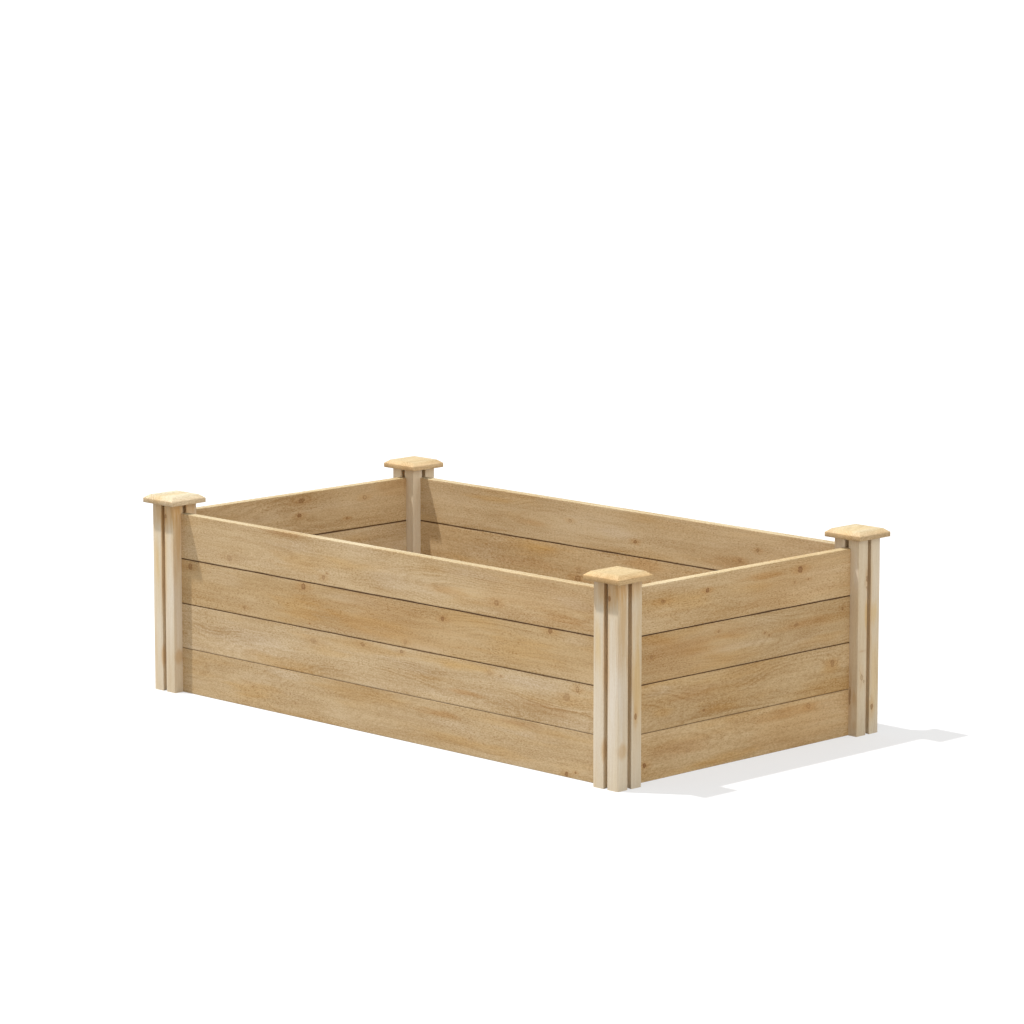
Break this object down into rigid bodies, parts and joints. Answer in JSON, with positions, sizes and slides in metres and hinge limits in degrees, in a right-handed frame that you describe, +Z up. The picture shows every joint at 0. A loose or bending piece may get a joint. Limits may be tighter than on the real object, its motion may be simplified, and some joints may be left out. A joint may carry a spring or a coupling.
{
  "type": "raised garden bed",
  "caption": "Rectangular bottomless planter bed of stacked cedar boards whose dovetailed ends slot into grooved corner posts, each topped by a square bevelled lift-off cap.",
  "frame": {"origin": "on the ground at the middle of the bed", "axes": "+Z up, X along the long walls, Y along the short walls, the front long wall facing -Y"},
  "size_m": [1.293, 0.7334, 0.3899],
  "materials": {
    "board": "planed cedar, unfinished",
    "post": "planed pale cedar, unfinished",
    "cap": "planed cedar, unfinished",
    "peg": "turned hardwood, unfinished"
  },
  "bodies": {
    "frame": {"post_front_left": "post", "post_front_right": "post", "post_back_right": "post", "post_back_left": "post", "board_front_1": "board", "board_back_1": "board", "board_left_1": "board", "board_right_1": "board", "board_front_2": "board", "board_back_2": "board", "board_left_2": "board", "board_right_2": "board", "board_front_3": "board", "board_back_3": "board", "board_left_3": "board", "board_right_3": "board", "board_front_4": "board", "board_back_4": "board", "board_left_4": "board", "board_right_4": "board"},
    "lid_front_left": {"cap_front_left": "cap", "cap_peg_front_left": "peg"},
    "lid_front_right": {"cap_front_right": "cap", "cap_peg_front_right": "peg"},
    "lid_back_right": {"cap_back_right": "cap", "cap_peg_back_right": "peg"},
    "lid_back_left": {"cap_back_left": "cap", "cap_peg_back_left": "peg"}
  },
  "joints": [
    {"name": "cap_lift_front_left", "type": "slide", "parent": "frame", "child": "lid_front_left", "axis": [0, 0, 1], "range_m": [0, 0.06]},
    {"name": "cap_lift_front_right", "type": "slide", "parent": "frame", "child": "lid_front_right", "axis": [0, 0, 1], "range_m": [0, 0.06]},
    {"name": "cap_lift_back_right", "type": "slide", "parent": "frame", "child": "lid_back_right", "axis": [0, 0, 1], "range_m": [0, 0.06]},
    {"name": "cap_lift_back_left", "type": "slide", "parent": "frame", "child": "lid_back_left", "axis": [0, 0, 1], "range_m": [0, 0.06]}
  ]
}
